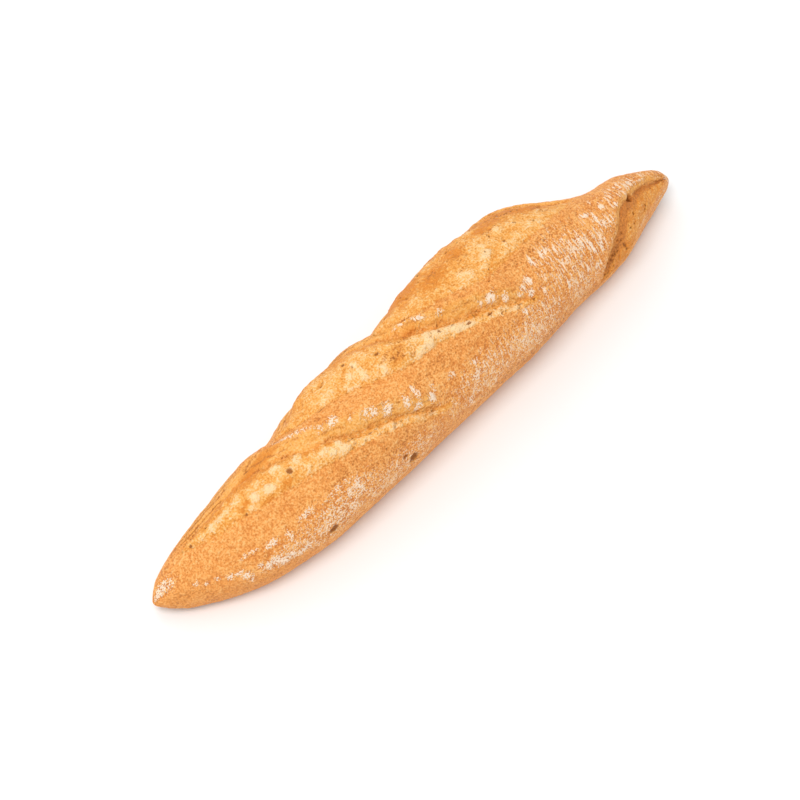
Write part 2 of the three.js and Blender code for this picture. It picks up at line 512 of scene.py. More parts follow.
CUTS = (
    Cut(
        lower=Curve(
            ((-179, 27), (-161, 3), (-143, -6), (-123, -14), (-104, -21), (-82, -32), (-60, -43), (-22, -71))
        ),
        upper=Curve(
            ((-179, 27), (-163, 33), (-143, 36), (-125, 25), (-97, -2), (-76, -21), (-53, -37), (-22, -65))
        ),
        depth=2.6,
        bloom=2.5,
        lip=3.2,
        rim=0.8,
        crest_near=13.0,
        crest_far=10.0,
    ),
    Cut(
        lower=Curve(
            ((-104, 36), (-89, 20), (-68, 9), (-48, -2), (-26, -13), (-4, -18), (20, -30), (56, -49))
        ),
        upper=Curve(
            ((-104, 36), (-86, 56), (-62, 66), (-42, 50), (-27, 30), (-14, 10), (5, -7), (29, -22), (56, -44))
        ),
        depth=3.0,
        bloom=4.0,
        lip=3.2,
        rim=0.8,
        crest_near=12.0,
        crest_far=8.0,
    ),
    Cut(
        lower=Curve(((-24, 38), (-6, 16), (20, 3), (33, -4), (77, -5), (98, -3), (114, 10), (129, 31))),
        upper=Curve(((-24, 38), (-5, 60), (20, 71), (50, 73), (77, 65), (98, 54), (114, 41), (129, 31))),
        depth=1.5,
        bloom=4.0,
        lip=1.2,
        rim=1.0,
        crest_near=8.0,
        crest_far=4.0,
        crumb=0.2,
        seam=0.85,
    ),
    Cut(
        lower=Curve(((112, -98), (128, -104), (140, -99), (147, -84), (157, -73), (175, -66), (194, -48))),
        upper=Curve(((112, -98), (128, -68), (136, -52), (144, -32), (156, -27), (172, -26), (194, -48))),
        depth=2.4,
        bloom=1.0,
        lip=1.0,
        rim=0.3,
        crest_near=7.0,
        crest_far=6.0,
        narrows=(-0.2, 0.1),
        crumb=0.0,
        hollow=1.0,
        seam=0.0,
    ),
)


# ---- Flour, toasting and burst blisters ----


class Patch(NamedTuple):
    """An oval patch on the crust: its middle, its half sizes along the loaf (mm) and round it (degrees)."""

    x: float
    angle: float
    length: float
    girth: float
    strength: float
    lean: float = 0.0


def patches(spots: tuple[Patch, ...], x: Array, angle: Array) -> Array:
    """The strongest of some soft oval patches at each point.

    Each falls as exp(-r^3), where r is the distance from its middle, counted in its half sizes.

    Args:
        spots: the patches.
        x: places along the loaf, as a column.
        angle: girth angles, as a row.

    Returns:
        The strength at each point.
    """
    total = np.zeros(np.broadcast(x, angle).shape)
    for spot in spots:
        turn = angle - spot.angle - spot.lean * (x - spot.x)
        reach = ((x - spot.x) / spot.length) ** 2 + (turn / spot.girth) ** 2
        total = np.maximum(total, spot.strength * np.exp(-(reach**1.5)))
    return total


STRAPS = (
    Patch(-97, 48, 16, 34, 4.0, lean=-0.6),
    Patch(-17, 52, 14, 30, 4.0, lean=-0.6),
)

FLOUR = (
    # left tip and the row of dabs below it
    Patch(-194, 4, 7, 26, 0.9),
    Patch(-181, -40, 2, 8, 0.7),
    Patch(-177, -50, 2, 5, 0.8),
    Patch(-172, -51, 2, 5, 0.8),
    Patch(-167, -58, 2, 6, 0.95),
    Patch(-163, -59, 3, 4, 0.8),
    Patch(-160, -69, 2.2, 7, 1.0),
    Patch(-157, -41, 2.6, 4, 0.7),
    Patch(-152, -43, 3, 4, 0.65),
    Patch(-158, -78, 2, 7, 0.9),
    Patch(-152, -66, 2, 6, 0.8),
    Patch(-130, -68, 22, 16, 0.42),
    Patch(-146, -72, 7, 9, 1.0),
    Patch(-138, -78, 8, 8, 1.0),
    Patch(-128, -82, 8, 6, 0.85),
    Patch(-143, -48, 5, 5, 0.95),
    Patch(-133, -53, 2.2, 11, 0.75),
    Patch(-127, -83, 5, 5, 0.75),
    # front flank under the first cut
    Patch(-104, -72, 30, 25, 0.62),
    Patch(-120, -46, 6, 5, 0.8),
    Patch(-100, -48, 8, 5, 0.65),
    Patch(-95, -62, 2.5, 9, 0.85),
    Patch(-88, -64, 4, 16, 0.8),
    Patch(-58, -82, 40, 18, 0.5),
    # crest between the first and the second cut
    Patch(-97, 19, 11, 3, 0.85, lean=-1.3),
    Patch(-86, 2, 3, 3, 0.7),
    Patch(-79, -2, 3.5, 4, 0.95),
    Patch(-71, -10, 3, 3, 0.5),
    Patch(-64, -17, 3, 4, 0.8),
    Patch(-60, -20, 3, 5, 1.0),
    Patch(-53, -27, 3.5, 6, 1.0),
    Patch(-42, -34, 2.5, 8, 0.9),
    Patch(-37, -44, 3, 5, 1.0),
    Patch(-35, -33, 2.5, 7, 0.9),
    Patch(-28, -47, 2.5, 6, 1.0),
    Patch(-25, -64, 2, 8, 0.7),
    Patch(-24, -40, 2, 8, 0.5),
    # front flank under the second cut
    Patch(14, -72, 38, 26, 0.52),
    Patch(-11, -46, 3, 4, 0.75),
    Patch(6, -52, 3, 3.5, 0.9),
    Patch(4, -64, 5, 6, 0.75),
    Patch(-4, -84, 3, 9, 0.75),
    # crest between the second and the third cut
    Patch(-12, 18, 5, 2, 0.8, lean=-0.9),
    Patch(-4, 10, 4.5, 3, 1.0, lean=-1.0),
    Patch(8, 0, 3, 3, 0.6),
    Patch(29, -17, 3, 3, 0.6),
    Patch(36, -20, 4, 5, 1.0),
    Patch(43, -28, 2, 5, 0.9),
    Patch(51, -34, 2, 3, 0.7),
    Patch(48, -50, 3.5, 5, 0.95),
    # right-hand front, brushed round the girth
    Patch(55, -32, 2.5, 5, 0.9),
    Patch(61, -31, 3.4, 5, 1.0),
    Patch(58, -42, 2.4, 8, 1.0),
    Patch(66, -48, 2, 5, 0.8),
    Patch(71, -22, 1.8, 7, 1.0),
    Patch(80, -23, 3.6, 5, 1.0),
    Patch(88, -26, 2, 6, 0.75),
    Patch(96, -24, 2, 5, 0.75),
    Patch(54, -72, 34, 28, 0.55),
    Patch(98, -40, 32, 30, 0.57),
    Patch(94, -74, 24, 22, 0.53),
    Patch(105, -34, 2, 12, 0.9),
    Patch(110, -45, 3, 14, 1.0),
    Patch(117, -50, 2.4, 12, 0.95),
    Patch(84, -62, 2.6, 6, 0.85),
    Patch(100, -66, 2.6, 8, 0.85),
    Patch(109, -68, 5, 4, 0.8),
    Patch(89, -54, 3, 5, 0.8),
    Patch(120, -8, 3.8, 4, 0.95),
    Patch(132, -7, 2.4, 5, 0.95),
    Patch(124, -18, 1.8, 12, 1.0),
    Patch(119, -28, 2, 4, 0.9),
    Patch(130, -30, 1.5, 6, 0.8),
    Patch(125, -30, 12, 14, 0.6),
    Patch(153, 8, 4, 5, 0.95),
    Patch(162, -2, 5, 6, 0.8),
    Patch(141, -16, 3.5, 5, 0.95),
    Patch(154, 2, 30, 18, 0.52),
    Patch(171, -8, 4, 4, 0.7),
    Patch(197, 0, 4, 120, 0.85),
    Patch(190, 14, 9, 34, 0.66),
    Patch(160, -78, 12, 4, 0.4),
    Patch(181, -78, 12, 6, 0.5),
    # back flank and sole
    Patch(60, 98, 70, 18, 0.6),
    Patch(-80, 98, 70, 20, 0.6),
    Patch(15, 84, 12, 8, 0.9),
    Patch(-60, 80, 10, 9, 0.9),
    Patch(100, 84, 14, 8, 0.85),
    Patch(-140, 86, 14, 10, 0.85),
    Patch(-90, 180, 90, 30, 0.5),
    Patch(-90, -180, 90, 30, 0.5),
    Patch(80, 180, 70, 26, 0.42),
    Patch(80, -180, 70, 26, 0.42),
)

PALE = (
    # first cut
    Patch(-124, 6, 34, 17, 0.20, lean=-0.45),
    Patch(-170, 17, 3, 8, 0.6),
    Patch(-164, 13, 3, 4, 0.8),
    Patch(-157, 12, 5, 5.5, 0.9),
    Patch(-149, 12, 3, 4, 0.7),
    Patch(-142, 13, 3.6, 4.5, 1.0),
    Patch(-147, 4, 4, 4, 0.6),
    Patch(-140, -3, 3, 4, 0.6),
    Patch(-134, 2, 4, 5, 1.0),
    Patch(-129, 9, 3.4, 4, 0.9),
    Patch(-126, -3, 3.4, 4.5, 0.9),
    Patch(-117, 8, 4, 5, 0.95),
    Patch(-105.5, 0, 3.6, 5.5, 1.0),
    Patch(-98, -8, 3, 4, 0.6),
    Patch(-91, -6, 3.4, 4.5, 0.9),
    Patch(-106, -15, 3, 3, 0.5),
    Patch(-94, -13, 4, 4, 0.7),
    Patch(-85, -17, 3.6, 4.5, 0.9),
    Patch(-86, -22, 8, 4, 0.5, lean=-0.7),
    # second cut
    Patch(-40, 14, 36, 22, 0.3, lean=-0.8),
    Patch(-71, 21, 8, 9, 0.65),
    Patch(-59, 24, 6, 7, 0.5),
    Patch(-50, 12, 7, 10, 0.85),
    Patch(-58, 4, 8, 4, 0.8),
    Patch(-47, 2, 5, 5, 0.6),
    Patch(-38, -1, 4.5, 6, 0.9),
    Patch(-30, -10, 4, 4, 0.6),
    Patch(-14, -13, 5, 5, 0.9),
    Patch(-7, -6, 7, 5, 1.0, lean=-0.7),
    Patch(0, -12, 5, 4, 0.9),
    Patch(12, -21, 7, 4, 0.8, lean=-0.8),
    # third cut
    Patch(52, 16, 55, 24, 0.16),
    Patch(6, 23, 8, 8, 0.5),
    Patch(-8, 34, 8, 6, 0.4),
    Patch(35, 6, 6, 6, 1.0),
    Patch(30, 1, 5, 3, 0.7),
    Patch(54, 8, 4.5, 5, 1.0),
    Patch(58, 14, 4, 4, 0.8),
    Patch(47, 2, 6, 3, 0.7),
    Patch(73, 19, 4.5, 5, 0.8),
    Patch(72, 3, 9, 4, 0.6),
    Patch(89, 4, 8, 4, 0.6),
    Patch(62, -1, 6, 2.5, 0.6),
    Patch(30, 45, 9, 6, 0.6),
    Patch(60, 40, 7, 6, 0.6),
)

GOLDEN = (
    Patch(131, -84, 20, 26, 1.0),
    Patch(162, -66, 36, 38, 0.55),
)

AMBER = (
    Patch(4, 44, 18, 16, 0.9),
    Patch(48, 58, 26, 10, 0.95),
    Patch(44, 28, 8, 8, 0.85),
    Patch(84, 44, 16, 12, 0.95),
    Patch(66, 30, 6, 8, 0.8),
    Patch(-137, 32, 6, 4, 1.0),
    Patch(-113, 25, 9, 4, 1.0),
    Patch(-139, 3, 2.5, 3, 0.9),
    Patch(-118, -10, 4, 3, 0.8),
    Patch(-130, 30, 26, 5, 1.0),
    Patch(-142, 1, 3, 3, 0.6),
    Patch(-129, -9, 5, 3, 0.5),
    Patch(-26, 0, 7, 7, 0.8),
    Patch(-15, 8, 9, 5, 0.8),
    Patch(22, 26, 14, 9, 0.8),
    Patch(75, 30, 16, 7, 0.9),
    Patch(100, 28, 12, 8, 1.0),
)

TOASTED = (
    Patch(-52, -60, 36, 8, 0.38),
    Patch(-88, -42, 22, 7, 0.3),
    Patch(32, -48, 26, 8, 0.2),
    Patch(-20, -30, 26, 8, 0.3),
    Patch(77, -12, 34, 5, 0.35),
    Patch(190, -36, 6, 16, 0.5),
    Patch(-165, -92, 55, 20, 0.4),
    Patch(-188, -60, 14, 34, 0.36),
    # darker bands along the lower front flank
    Patch(60, -98, 80, 10, 0.4),
    Patch(-60, -98, 60, 8, 0.3),
    # darker bands high on the back flank
    Patch(-150, 52, 40, 8, 0.4),
    Patch(-30, 60, 30, 12, 0.4),
    Patch(80, 68, 40, 8, 0.4),
)

SMOOTH = (
    Patch(-165, -94, 50, 24, 0.85),
    Patch(-188, -62, 16, 36, 0.8),
)

BROWNED = (
    Patch(-28, 0, 9, 8, 0.6),
    Patch(-22, -8, 6, 5, 0.5),
    Patch(-14, 7, 10, 6, 0.65),
    Patch(-23, 10, 4, 4, 0.6),
    Patch(30, 30, 12, 4, 0.75),
    Patch(38, 28, 4, 4, 0.85),
    Patch(25, 6, 2, 2, 0.9),
    Patch(46, 20, 8, 3, 0.7),
    Patch(36, 11, 6, 3, 0.45),
    Patch(82, 26, 5, 3, 0.6),
    Patch(66, 52, 14, 8, 0.7),
    Patch(44, 58, 14, 8, 0.6),
    Patch(88, 36, 8, 6, 0.7),
    Patch(14, 50, 14, 8, 0.5),
    Patch(70, 22, 10, 4, 0.6),
    Patch(95, 48, 7, 4, 0.7),
    Patch(91, 34, 6, 3, 0.9),
    Patch(98, 30, 6, 3, 0.95),
    Patch(105, 26, 6, 4, 0.95),
    Patch(111, 22, 4, 3, 0.8),
    Patch(105, 16, 4, 5, 0.5),
    Patch(77, 38, 6, 3, 0.65),
    Patch(58, -3, 3, 2, 0.6),
    Patch(-150, 40, 12, 3, 0.6),
    Patch(-130, -7, 1.5, 1.5, 0.6),
    Patch(-150, 0, 1.5, 2, 0.6),
    Patch(-60, 44, 20, 5, 0.5),
    Patch(20, 54, 20, 5, 0.6),
)


class Burst(NamedTuple):
    """A burst blister's small pit, painted dark with shade: its middle, half sizes in mm and depth in mm."""

    x: float
    angle: float
    length: float
    girth: float
    depth: float


BURSTS = (
    Burst(-113, -4, 1.7, 1.5, 1.8),
    Burst(-110, -85, 2.6, 1.8, 1.0),
    Burst(-50, -87, 3.2, 2.5, 1.4),
    Burst(-56, -77, 1.8, 1.2, 1.0),
    Burst(156, -25, 2.2, 2.0, 2.6),
    Burst(31, -29, 2.4, 0.7, 1.6),
    Burst(-35, 11, 1.4, 0.7, 0.9),
    Burst(3, -4, 1.0, 0.7, 0.8),
    Burst(-77, 12, 2.8, 0.5, 0.6),
    Burst(-51, 26, 1.0, 0.7, 0.7),
    Burst(41, -10, 1.0, 0.7, 0.7),
    Burst(84, 13, 0.9, 0.7, 0.7),
    Burst(-65, -54, 0.9, 0.7, 0.7),
    Burst(-171, 18, 0.6, 0.5, 0.5),
    Burst(-160, 19, 0.6, 0.5, 0.5),
    Burst(30, 86, 1.6, 1.0, 1.2),
    Burst(-130, 74, 1.4, 1.0, 1.2),
    Burst(120, 80, 1.2, 0.9, 1.0),
)


# ---- The crust ----


class Layer(Enum):
    """The layers of noise in the crust, each with its own number to add to the seed."""

    WANDER = 0
    TEARS = 1
    LUMPS = 2
    SKIN = 3
    BUBBLES = 4
    PORES = 5
    WAVER = 6
    VEINS = 7
    GRIT = 8
    SPECKS = 9


@dataclass
class Grain:
    """The noise of the crust at each point of the grid.

    lumps, skin and grit are ever finer unevenness, and waver bends the stretch lines: all from about -1 to
    1. veins is 0 along the cracks. bubble runs from 0 in the seams between bubbles to 1 on top of one, and
    pit is 1 in a small hole of the crumb. specks are the small pores of the smoother dough.
    """

    lumps: Array
    skin: Array
    grit: Array
    waver: Array
    veins: Array
    bubble: Array
    pit: Array
    specks: Cells


@dataclass
class Marks:
    """What the crust carries at each point of the grid, from 0 to 1, but for burst_depth in millimetres.

    stretch is the lines along a lip, vein the cracks in a bloom and stain the browned crust round them.
    pit is a small hole, burst a burst blister, swollen a pale swelling and lumpy its uneven top.
    """

    stretch: Array
    vein: Array
    stain: Array
    pit: Array
    burst: Array
    burst_depth: Array
    swollen: Array
    lumpy: Array


@dataclass
class Look:
    """What the crust is like at each point of the grid, each measure from 0 to 1.

    dough is torn dough rather than crust, pale its light places, paler still on the tops of bubbles and lumps
    as a painted highlight, and amber its dark places, with painted shade in the upper part of each opening,
    under the lip. toast is browned places of both, and painted shade in the valleys and grooves at the feet
    of the lips. flour is how thick the flour lies, and brushed how much it runs in streaks. pore is painted
    shade in the pits and burst blisters, smooth is crust with little speckle, and sole is the underside.
    """

    dough: Array
    pale: Array
    amber: Array
    toast: Array
    flour: Array
    brushed: Array
    pore: Array
    smooth: Array
    sole: Array


@dataclass
class Crust:
    """The whole loaf as one closed skin, with its cuts, blisters, pits and the masks that its finish reads.

    Sizes and heights of the noise are in millimetres. Crowding is how many features fit in a millimetre along
    the loaf, across it and upwards.
    """

    lines: LoafLines = field(default_factory=LoafLines)
    cuts: tuple[Cut, ...] = CUTS
    rings: int = 438
    crown_steps: int = 180
    flank_steps: int = 17
    sole_steps: int = 12
    crown_reach: float = 100.0
    tip_crowding: float = 0.25
    seed: int = 11
    cuts_fade: tuple[float, float] = (128, 104)
    sole_starts: tuple[float, float] = (128, 154)
    wander_size: float = 9.0
    wander: float = 1.3
    tear_size: float = 2.2
    tear: float = 0.8
    lump_size: float = 16.0
    skin_size: float = 3.4
    grit_size: float = 1.5
    waver_size: float = 14.0
    warp: float = 1.3
    bubble_size: float = 5.0
    speck_size: float = 2.6
    pore_crowding: tuple[float, float, float] = (0.26, 0.5, 0.5)
    vein_crowding: tuple[float, float, float] = (0.10, 0.2, 0.2)
    line_spacing: float = 3.6
    lump_height: float = 0.55
    skin_height: float = 0.22
    grit_height: float = 0.10
    bubble_height: float = 0.9
    swelling_height: float = 1.7
    dough_height: float = 0.12
    line_depth: float = 0.4
    vein_depth: float = 0.6
    seam_depth: float = 0.7
    pore_depth: float = 1.0
    sole_relief: float = 0.15

    def ring_places(self) -> Array:
        """Where the rings stand along the loaf, as a column: even, and a little closer at the tips."""
        even = np.linspace(-1, 1, self.rings + 2)[1:-1, None]
        return self.lines.length / 2 * mix(even, np.sin(math.pi / 2 * even), self.tip_crowding)

    def girth_angles(self) -> Array:
        """The girth angles of a ring: fine over the crown, coarser down the flanks and below.

        Returns:
            The angles in degrees, as a row.
        """
        reach, edge = self.crown_reach, self.lines.sole_edge_angle
        half_sole = self.sole_steps // 2
        front = np.linspace(-180, -edge, half_sole, endpoint=False)
        front_flank = np.linspace(-edge, -reach, self.flank_steps, endpoint=False)
        crown = np.linspace(-reach, reach, self.crown_steps, endpoint=False)
        back_flank = np.linspace(reach, edge, self.flank_steps, endpoint=False)
        back = np.linspace(edge, 180, half_sole, endpoint=False)
        return np.concatenate([front, front_flank, crown, back_flank, back])[None, :]

    @staticmethod
    def normals(points: Array) -> Array:
        """Outward normals: the cross product of the steps between the neighbours on both sides.

        Args:
            points: a grid, rings by girth by 3.

        Returns:
            A unit vector at each point.
        """
        round_step = np.roll(points, -1, axis=1) - np.roll(points, 1, axis=1)
        along_step = np.gradient(points, axis=0)
        normal = np.cross(along_step, round_step)
        return normal / np.maximum(np.linalg.norm(normal, axis=-1, keepdims=True), 1e-9)

    def shape(self) -> tuple[Array, Look]:
        """The finished surface and what it is like.

        The cuts push the plain loaf in and out along its normals, and the straps of crust between them hold
        it in. Then the lumps, blisters, creases and pits push that surface along its own normals, so that
        they stand square on the lips and rims.

        Returns:
            The points in millimetres, rings by girth by 3, and the look at each of them.
        """
        x, angle = self.ring_places(), self.girth_angles()
        scale = self.lines.girth_scale(x)
        plain = self.lines.points(x, angle)
        ragged = angle + self._ragged(plain) / np.maximum(scale, 0.1)
        cut = CutShape.together([cut.shape(x, ragged, scale) for cut in self.cuts])
        relief = cut.relief * smoothstep(np.abs(angle), *self.cuts_fade) - patches(STRAPS, x, angle)
        torn = plain + self.normals(plain) * relief[..., None]

        sole = smoothstep(np.abs(angle), *self.sole_starts)
        grain = self._grain(torn)
        marks = self._marks(x, angle, cut, grain)
        fine = self._relief(cut, grain, marks, sole)
        return torn + self.normals(torn) * fine[..., None], self._look(x, angle, cut, grain, marks, sole)

    def _noise(self, layer: Layer) -> Noise:
        """The noise of one layer."""
        return Noise(self.seed + layer.value)

    def _ragged(self, points: Array) -> Array:
        """How far the edges of the cuts wander: broad waves, and small tears.

        Args:
            points: the plain loaf.

        Returns:
            Millimetres round the girth at each point.
        """
        broad = self._noise(Layer.WANDER).fractal(points / self.wander_size)
        small = self._noise(Layer.TEARS).fractal(points / self.tear_size, 2)
        return self.wander * broad + self.tear * small

    def _grain(self, points: Array) -> Grain:
        """The noise of the crust. The cells are taken at points that finer noise has pushed about.

        Args:
            points: the torn surface.

        Returns:
            The noise at each point.
        """
        lumps = self._noise(Layer.LUMPS).fractal(points / self.lump_size)
        skin = self._noise(Layer.SKIN).fractal(points / self.skin_size)
        grit = self._noise(Layer.GRIT).fractal(points / self.grit_size, 2)
        warped = points + self.warp * np.stack([skin, lumps, grit], axis=-1)
        bubbles = self._noise(Layer.BUBBLES).cells(warped / self.bubble_size)
        pores = self._noise(Layer.PORES).cells(warped * np.array(self.pore_crowding))
        return Grain(
            lumps=lumps,
            skin=skin,
            grit=grit,
            waver=self._noise(Layer.WAVER).fractal(points / self.waver_size),
            veins=self._noise(Layer.VEINS).fractal(points * np.array(self.vein_crowding)),
            bubble=np.clip(1.1 - bubbles.nearest / 0.7, 0, 1) * mix(0.3, 1.0, bubbles.chance),
            pit=smoothstep(pores.nearest + 0.2 * grit, 0.5, 0.22) * (pores.chance > 0.57),
            specks=self._noise(Layer.SPECKS).cells(warped / self.speck_size),
        )

    def _marks(self, x: Array, angle: Array, cut: CutShape, grain: Grain) -> Marks:
        """Where the lines, cracks, pits and swellings are.

        The stretch lines are the crests of a sine of the distance from the edge of the cut, and the cracks
        run where the vein noise crosses 0.

        Args:
            x: places along the loaf, as a column.
            angle: girth angles, as a row.
            cut: what the cuts do.
            grain: the noise of the crust.

        Returns:
            The marks at each point.
        """
        turns = cut.from_edge / self.line_spacing + 0.9 * grain.waver + 0.12 * grain.skin
        broken = smoothstep(grain.waver + 0.6 * grain.skin, 0.5, 0.0)
        browned = patches(BROWNED, x, angle) * cut.opening
        golden = patches(GOLDEN, x, angle) * cut.opening
        rare = mix(0.95, 0.2, golden**2)
        speck = smoothstep(grain.specks.nearest, 0.5, 0.24) * (grain.specks.chance > rare) * cut.opening
        burst, burst_depth = self._bursts(x, angle, grain.skin)
        return Marks(
            stretch=smoothstep(np.sin(2 * math.pi * turns), 0.2, 0.95) * np.sqrt(cut.face) * broken,
            vein=smoothstep(np.abs(grain.veins), 0.10, 0.01) * cut.opening * mix(0.25, 1.0, browned),
            stain=browned * smoothstep(np.abs(grain.veins + 0.2 * grain.skin), 0.4, 0.0),
            pit=np.maximum(0.8 * grain.pit * cut.crevice, 0.85 * speck),
            burst=burst,
            burst_depth=burst_depth,
            swollen=patches(PALE, x, angle) * cut.opening,
            lumpy=smoothstep(0.45 * grain.bubble + 0.55 * (0.5 + 0.5 * grain.skin), 0.25, 0.62),
        )

    def _bursts(self, x: Array, angle: Array, wobble: Array) -> tuple[Array, Array]:
        """The pits of the burst blisters.

        Args:
            x: places along the loaf, as a column.
            angle: girth angles, as a row.
            wobble: noise that makes their edges uneven.

        Returns:
            How much of a pit each point is in, and its depth in millimetres.
        """
        scale = self.lines.girth_scale(x)
        inside = np.zeros_like(wobble)
        depth = np.zeros_like(wobble)
        for spot in BURSTS:
            across = (angle - spot.angle) * scale / spot.girth
            reach = np.hypot((x - spot.x) / spot.length, across) + 0.7 * wobble
            inside = np.maximum(inside, smoothstep(reach, 1.5, 0.5))
            depth = np.maximum(depth, spot.depth * smoothstep(reach, 1.4, 0.4))
        return inside, depth

    def _relief(self, cut: CutShape, grain: Grain, marks: Marks, sole: Array) -> Array:
        """The fine relief: the crust's unevenness, the dough's bubbles and swellings, and all the creases.

        Args:
            cut: what the cuts do.
            grain: the noise of the crust.
            marks: what the crust carries.
            sole: how much each girth angle is on the sole.

        Returns:
            Millimetres along the normals at each point.
        """
        fine = self.skin_height * grain.skin + self.grit_height * grain.grit
        bubbles = self.bubble_height * grain.bubble * cut.dome
        swellings = self.swelling_height * marks.swollen * mix(0.6, 1.0, marks.lumpy)
        dough = bubbles + swellings + self.dough_height * grain.skin
        creases = self.line_depth * marks.stretch + self.vein_depth * marks.vein + self.seam_depth * cut.seam
        relief = self.lump_height * grain.lumps + fine * (1 - 0.8 * sole) + cut.opening * dough
        relief = relief - creases - self.pore_depth * marks.pit - marks.burst_depth
        return relief * mix(1.0, self.sole_relief, sole)

    @staticmethod
    def _look(x: Array, angle: Array, cut: CutShape, grain: Grain, marks: Marks, sole: Array) -> Look:
        """What the crust is like: most measures are the strongest or the sum of what brings them about.

        Args:
            x: places along the loaf, as a column.
            angle: girth angles, as a row.
            cut: what the cuts do.
            grain: the noise of the crust.
            marks: what the crust carries.
            sole: how much each girth angle is on the sole.

        Returns:
            The look at each point.
        """
        # painted highlight: pale dough made paler on the raised lumps and on the tops of the bubbles
        crumb = cut.crevice * smoothstep(cut.high, 0.95, 0.4) * (0.38 + 0.35 * marks.lumpy)
        swelling = marks.swollen * (0.55 + 0.55 * marks.lumpy)
        pale = swelling + 0.28 * grain.bubble * cut.opening + crumb + 0.32 * cut.face
        # painted shade: deep orange in the upper part of each opening, under the lip, where no crumb shows
        under_lip_shade = 0.7 * cut.high * (1 - cut.crevice)
        golden = 0.5 * patches(GOLDEN, x, angle) * cut.opening
        amber = np.maximum.reduce([patches(AMBER, x, angle), under_lip_shade, 0.18 * cut.face, golden])
        toast = np.maximum(patches(TOASTED, x, angle), 0.62 * marks.stain + 0.5 * marks.vein)
        toast = toast + mix(0.55, 0.8, smoothstep(x, -60, -100)) * marks.stretch
        # painted shade: the valley and the groove at the foot of each lip are darkened like toast
        toast = np.maximum.reduce([toast, 0.72 * cut.brown, 0.9 * cut.seam])
        smooth = np.maximum.reduce([0.8 * cut.face, cut.brown, patches(SMOOTH, x, angle)])
        swept = 0.55 * smoothstep(x, -60, -25) + 0.45 * smoothstep(x, 50, 95)
        return Look(
            dough=np.maximum(cut.stained, 0.85 * cut.face),
            pale=np.clip(pale, 0, 1),
            amber=np.clip(amber, 0, 1),
            toast=np.clip(toast, 0, 1),
            flour=np.clip(patches(FLOUR, x, angle) * (1 - 0.9 * cut.stained), 0, 1),
            brushed=swept * mix(0.35, 1.0, smoothstep(np.abs(angle), 84, 58)),
            # painted shade in the pits and burst blisters
            pore=np.clip(np.maximum(marks.pit, marks.burst), 0, 1),
            smooth=np.clip(smooth, 0, 1),
            sole=sole,
        )

    def build(self, finish: CrustFinish) -> bpy.types.Object:
        """Makes the skin, sets it into the frame's box and dresses it.

        Args:
            finish: what the crust looks like.

        Returns:
            The finished piece.
        """
        points, look = self.shape()
        tips = np.array([[-self.lines.length / 2, 0, 0], [self.lines.length / 2, 0, 0]])
        tips[:, 1:] = points[[0, -1], :, 1:].mean(axis=1)
        vertices = self._seat(np.concatenate([points.reshape(-1, 3), tips]))
        mesh = bpy.data.meshes.new("baguette_crust")
        mesh.from_pydata(vertices, [], self._faces(*points.shape[:2]))
        mesh.polygons.foreach_set("use_smooth", np.ones(len(mesh.polygons), bool))
        for name, values in vars(look).items():
            values = np.broadcast_to(values, points.shape[:2])
            ends = values[[0, -1]].mean(axis=1)
            attribute = mesh.attributes.new(name, "FLOAT", "POINT")
            attribute.data.foreach_set("value", np.concatenate([values.ravel(), ends]).astype(np.float32))
        self._lay_cloth_lines(mesh, points)
        mesh.materials.append(finish.material())
        piece = bpy.data.objects.new("baguette_crust", mesh)
        bpy.context.scene.collection.objects.link(piece)
        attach(piece, BODY)
        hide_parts(NODE)
        return piece

    def _seat(self, vertices: Array) -> Array:
        """Sets the loaf into the frame's box: on its sole, in the middle, and as long as the box.

        Args:
            vertices: the loaf in millimetres.

        Returns:
            The loaf in metres, where the box is.
        """
        low, high = (np.array(corner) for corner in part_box(NODE))
        middle = (vertices.min(axis=0) + vertices.max(axis=0)) / 2
        seated = (vertices - [middle[0], middle[1], 0]) * (high - low)[0] / self.lines.length
        seated += [(low + high)[0] / 2, (low + high)[1] / 2, low[2]]
        seated[:, 2] = np.maximum(seated[:, 2], low[2])
        return seated

    @staticmethod
    def _faces(rings: int, steps: int) -> list[list[int]]:
        """Quads between neighbouring rings and a fan of triangles on each tip, all facing out.

        Args:
            rings: how many rings there are.
            steps: how many points each ring has.

        Returns:
            The vertices of each face. The two tips come last, after all the rings.
        """
        ring = np.arange(rings - 1)[:, None] * steps
        step = np.arange(steps)
        following = (step + 1) % steps
        quads = [ring + step, ring + steps + step, ring + steps + following, ring + following]
        first, last = rings * steps, rings * steps + 1
        top = (rings - 1) * steps
        near = np.stack([np.full(steps, first), step, following], axis=-1)
        far = np.stack([np.full(steps, last), top + following, top + step], axis=-1)
        return [*np.stack(quads, axis=-1).reshape(-1, 4).tolist(), *near.tolist(), *far.tolist()]

    def _lay_cloth_lines(self, mesh: bpy.types.Mesh, points: Array) -> None:
        """Gives each point its place along the loaf and its way round the girth, in millimetres.

        Args:
            mesh: the loaf's mesh, which takes them as an attribute for the flour's brush strokes.
            points: the surface, rings by girth by 3.
        """
        steps = np.linalg.norm(np.diff(points, axis=1, prepend=points[:, :1]), axis=-1)
        girth = np.cumsum(steps, axis=1)
        top = np.argmin(np.abs(self.girth_angles()[0]))
        girth = girth - girth[:, top : top + 1]
        along = points[..., 0]
        place = np.stack([along, girth, np.zeros_like(girth)], axis=-1).reshape(-1, 3)
        place = np.concatenate([place, [[along[0, 0], 0, 0], [along[-1, 0], 0, 0]]])
        attribute = mesh.attributes.new("cloth", "FLOAT_VECTOR", "POINT")
        attribute.data.foreach_set("vector", place.astype(np.float32).ravel())


# ---- Finishes ----


class Operation(Enum):
    """What a Math node does with its two values."""

    ADD = "ADD"
    SUBTRACT = "SUBTRACT"
    MULTIPLY = "MULTIPLY"


